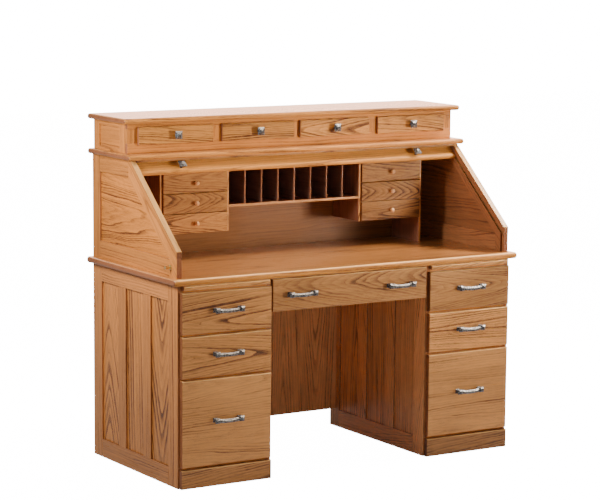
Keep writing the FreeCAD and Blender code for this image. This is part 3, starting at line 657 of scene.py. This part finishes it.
def dressWood(node, weighted=True):
    settings = woodSettings(node)
    nodeLow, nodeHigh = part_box(node)
    pieces = []
    finishes = []
    for index, bm in enumerate(solidsOf(node)):
        luck = random.Random(node + str(index))
        low, high = extent(bm)
        wanted = settings.get("grain")
        if node.endswith("hutch_side") and min(high.y - low.y, high.z - low.z) > slopedPiece["reach"]:
            wanted = "slope" if isSloped(bm) else "Y"
        easeEdges(bm, settings["ease"], woodEase)
        tone = settings.get("tone", 0.0) + boardTones.get(node, 0.0)
        if isBoxPart(node, low, high, nodeLow, nodeHigh) or high.x - low.x < woodSizes["knobWidth"]:
            tone = 0.0
        along = markGrain(bm, luck, wanted, settings.get("strip", boardCut["strip"]), tone)
        for face in bm.faces:
            finish = faceFinish(node, settings, face, low, high, nodeLow, nodeHigh, along)
            if finish not in finishes:
                finishes.append(finish)
            face.material_index = finishes.index(finish)
        pieces.append(bm)
    return finishPiece(gather(pieces), camel(node) + "Wood", [oaks[finish] for finish in finishes], bodyOf[node],
                       [node], weighted)


for node in nodes:
    if woodSettings(node) and node != "tambour_slats":
        dressWood(node)
print("boards dressed")

# tambour: stowed slats and canvas, and the stretch of curtain for the slope, which is built shut and then packed at
# the hinge
# start and end are metres along the slope from the hinge, where the open curtain is packed
tambour = {"slats": 16, "gap": 0.0024, "back": -0.0045, "shoulder": 0.0005, "crown": 0.0045, "curve": 8,
           "start": 0.0105, "end": 0.0065, "endGap": 0.002, "heart": 0.1, "strip": 0.4,
           "canvas": 0.0010, "canvasGap": 0.0001, "canvasInset": 0.02, "keep": 0.04, "level": 1.158, "halvings": 40}
hingePlace = Vector(jointOf["lift_rail_hinge"]["pos_m"])
tambourTravel = -jointOf["tambour_slide"]["range_m"][0]


def shutReach(share):
    packed = tambour["start"] + (tambour["end"] - tambour["start"]) * share
    return packed, packed - share * share * (3 - 2 * share) * tambourTravel


# the curtain is made shut, and each point goes back to where it is packed: its share is found by halving
def packCurtain(spot):
    wanted = (spot - hingePlace).dot(slopeAxis)
    low, high = 0.0, 1.0
    for _ in range(tambour["halvings"]):
        middle = (low + high) / 2
        low, high = (middle, high) if shutReach(middle)[1] > wanted else (low, middle)
    return spot + slopeAxis * (shutReach(low)[0] - wanted)


def addStrip(bm, profile, half, luck, middle, materialIndex):
    grain = bm.verts.layers.float_vector["grain"]
    board = bm.verts.layers.float_vector["board"]
    character = Vector((luck.uniform(*boardCut["seeds"]), luck.uniform(*boardCut["tones"]), tambour["strip"]))
    outline = []
    for reach, out in profile:
        vert = bm.verts.new(Vector((-half, hingePlace.y, hingePlace.z)) + slopeAxis * reach + slopeOut * out)
        vert[grain] = (-half, reach - middle + tambour["heart"], out)
        vert[board] = character
        outline.append(vert)
    run = bmesh.ops.extrude_face_region(bm, geom=[bm.faces.new(outline)])["geom"]
    farEnd = [item for item in run if isinstance(item, bmesh.types.BMVert)]
    bmesh.ops.translate(bm, vec=(2 * half, 0, 0), verts=farEnd)
    for vert in farEnd:
        vert[grain] = (half, vert[grain].y, vert[grain].z)
    for face in {face for vert in farEnd + outline for face in vert.link_faces}:
        face.material_index = materialIndex


def makeCurtain():
    luck = random.Random("curtain")
    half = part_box("lift_rail")[1].x + tambour["endGap"]
    top, bottom = shutReach(0.0)[1], shutReach(1.0)[1]
    pitch = (top - bottom) / tambour["slats"]
    reach = (pitch - tambour["gap"]) / 2
    rise = tambour["crown"] - tambour["shoulder"]
    turns = [-1 + 2 * step / tambour["curve"] for step in range(tambour["curve"] + 1)]
    bm = bmesh.new()
    bm.verts.layers.float_vector.new("grain")
    bm.verts.layers.float_vector.new("board")
    for index in range(tambour["slats"]):
        middle = bottom + (index + 0.5) * pitch
        profile = [(middle + turn * reach, tambour["shoulder"] + rise * (1 - turn ** 2)) for turn in turns]
        profile += [(middle + reach * side, tambour["back"]) for side in (1, 0, -1)]
        addStrip(bm, profile, half, luck, middle, 0)
    marks = [bottom + pitch * index / 2 for index in range(2 * tambour["slats"] + 1)]
    back = tambour["back"] - tambour["canvasGap"]
    profile = [(mark, back) for mark in marks] + [(mark, back - tambour["canvas"]) for mark in reversed(marks)]
    addStrip(bm, profile, half - tambour["canvasInset"], luck, 0.0, 1)
    bmesh.ops.recalc_face_normals(bm, faces=bm.faces)
    curtain = finishPiece(bm, "tambourCurtain", [oaks["frontOak"], canvasCloth], None, [],
                          weighted=False, settle=packCurtain)
    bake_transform(curtain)


def makeStowed():
    slats = dressWood("tambour_slats", weighted=False)
    canvas = finishPiece(gather(solidsOf("tambour_canvas")), "tambourCanvasCloth", [canvasCloth],
                         bodyOf["tambour_canvas"], ["tambour_canvas"], weighted=False)
    for piece in (slats, canvas):
        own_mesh(piece)


makeCurtain()
makeStowed()
print("tambour dressed")


def dressMetal(node, finish):
    pieces = solidsOf(node)
    for bm in pieces:
        easeEdges(bm, metalFinishes[finish]["ease"], metalEase)
    finishPiece(gather(pieces), camel(node) + "Metal", [metals[finish]], bodyOf[node], [node])


for node in nodes:
    if node.endswith(("_pull", "_pulls", "_knob", "_knobs")):
        dressMetal(node, "pewter")
for node in ("lock_bezel", "lock_plunger"):
    dressMetal(node, "brass")
print("metal dressed")

# floor, light and camera
studio = {"floorSize": 30.0, "floorColour": (0.45, 0.45, 0.45, 1), "floorRoughness": 0.7,
          "floorGlow": 15.8, "floorSheen": 0.30, "seen": 16.0,
          "sweep": (0.52, 0.84, 0.16), "sweepEdge": (0.70, 0.97, 0.0, 1.0), "sweepColour": (1.0, 0.55, 0.38, 1),
          "sweepGlow": 4.4, "backGlow": 1.5, "roomGlow": 0.13, "roomColour": (1.0, 0.98, 0.95, 1)}
lamps = {
    "keyLamp": {"place": (-1.65, -0.14, 1.50), "aim": (-0.74, -0.08, 1.00), "size": 0.5, "power": 18,
                "spread": 140, "diffuse": True, "glossy": True, "colour": (1.0, 0.97, 0.92)},
    "frontLamp": {"place": (2.5, -3.3, 1.10), "aim": (0.10, -0.3, 1.52), "size": 0.9, "power": 18.5,
                  "spread": 40, "diffuse": True, "glossy": False, "colour": (1.0, 0.97, 0.92)},
    "topLamp": {"place": (2.25, -0.42, 3.05), "aim": (0.0, -0.25, 0.8), "size": 0.8, "power": 210,
                "spread": 160, "diffuse": True, "glossy": True, "colour": (1.0, 0.90, 0.78)},
    "fillLamp": {"place": (-1.6, -5.4, 1.1), "aim": (0, 0, 0.6), "size": 2.0, "power": 17,
                 "spread": 160, "diffuse": True, "glossy": False, "colour": (1.0, 1.0, 1.0)},
    "glintLamp": {"place": (1.66, -0.6, 3.5), "aim": (0, -0.3, 0.8), "size": 1.0, "power": 100,
                  "spread": 160, "diffuse": False, "glossy": True, "colour": (1.0, 0.64, 0.36)},
}
cameraView = {"place": (-4.7302, -7.6197, 2.0606), "azimuth": -31.66, "elevation": 9.20, "roll": 0.47,
              "lens": 140.89, "shift": (0.0016, 0.0782), "clipEnd": 100}


def addFloor():
    bm = bmesh.new()
    bmesh.ops.create_grid(bm, x_segments=1, y_segments=1, size=studio["floorSize"] / 2)
    mesh = bpy.data.meshes.new("studioFloor")
    bm.to_mesh(mesh)
    bm.free()
    material, tree, shader = newMaterial("floorPaper")
    shader.inputs["Base Color"].default_value = studio["floorColour"]
    shader.inputs["Roughness"].default_value = studio["floorRoughness"]
    shader.inputs["Emission Color"].default_value = (1, 1, 1, 1)
    path = tree.nodes.new("ShaderNodeLightPath").outputs
    glow = calc(tree, "MULTIPLY", path["Is Camera Ray"], studio["floorGlow"])
    glow = calc(tree, "MULTIPLY_ADD", path["Is Glossy Ray"], studio["floorSheen"], glow)
    feed(tree, shader.inputs["Emission Strength"], glow)
    mesh.materials.append(material)
    floor = bpy.data.objects.new("studioFloor", mesh)
    bpy.context.scene.collection.objects.link(floor)


def addLamp(name, settings):
    lamp = bpy.data.lights.new(name, "AREA")
    lamp.size = settings["size"]
    lamp.energy = settings["power"]
    lamp.color = settings["colour"]
    lamp.spread = math.radians(settings["spread"])
    holder = bpy.data.objects.new(name, lamp)
    holder.location = settings["place"]
    aim = Vector(settings["aim"]) - Vector(settings["place"])
    holder.rotation_euler = aim.to_track_quat("-Z", "Y").to_euler()
    holder.visible_diffuse = settings["diffuse"]
    holder.visible_glossy = settings["glossy"]
    bpy.context.scene.collection.objects.link(holder)


# a pale sweep behind the desk that shows warm in glossy reflections, and little light from the room in front
def addWorld():
    world = bpy.data.worlds.new("studioWorld")
    world.use_nodes = True
    tree = world.node_tree
    backdrop = tree.nodes["Background"]
    toSweep = tree.nodes.new("ShaderNodeVectorMath")
    toSweep.operation = "DOT_PRODUCT"
    feed(tree, toSweep.inputs[0], tree.nodes.new("ShaderNodeTexCoord").outputs["Generated"])
    toSweep.inputs[1].default_value = Vector(studio["sweep"]).normalized()
    near = rescale(tree, toSweep.outputs["Value"], *studio["sweepEdge"])
    path = tree.nodes.new("ShaderNodeLightPath").outputs
    glossy = calc(tree, "MULTIPLY", path["Is Glossy Ray"], near)
    feed(tree, backdrop.inputs["Color"], mixed(tree, glossy, studio["roomColour"], studio["sweepColour"]))
    glow = calc(tree, "MULTIPLY_ADD", near, studio["backGlow"], studio["roomGlow"])
    glow = calc(tree, "MULTIPLY_ADD", glossy, studio["sweepGlow"] - studio["backGlow"], glow)
    glow = calc(tree, "MULTIPLY_ADD", path["Is Camera Ray"], studio["seen"], glow)
    feed(tree, backdrop.inputs["Strength"], glow)
    bpy.context.scene.world = world


def addCamera():
    azimuth, elevation, roll = (math.radians(cameraView[key]) for key in ("azimuth", "elevation", "roll"))
    back = Vector((math.sin(azimuth) * math.cos(elevation), -math.cos(azimuth) * math.cos(elevation),
                   math.sin(elevation)))
    right = Vector((math.cos(azimuth), math.sin(azimuth), 0))
    up = back.cross(right)
    turnedRight = right * math.cos(roll) + up * math.sin(roll)
    turnedUp = up * math.cos(roll) - right * math.sin(roll)
    lens = bpy.data.cameras.new("photoCamera")
    lens.lens = cameraView["lens"]
    lens.shift_x, lens.shift_y = cameraView["shift"]
    lens.clip_end = cameraView["clipEnd"]
    camera = bpy.data.objects.new("photoCamera", lens)
    turn = Matrix((turnedRight, turnedUp, back)).transposed().to_4x4()
    camera.matrix_world = Matrix.Translation(cameraView["place"]) @ turn
    bpy.context.scene.collection.objects.link(camera)
    bpy.context.scene.camera = camera


addFloor()
for name, settings in lamps.items():
    addLamp(name, settings)
addWorld()
addCamera()
print("studio ready")
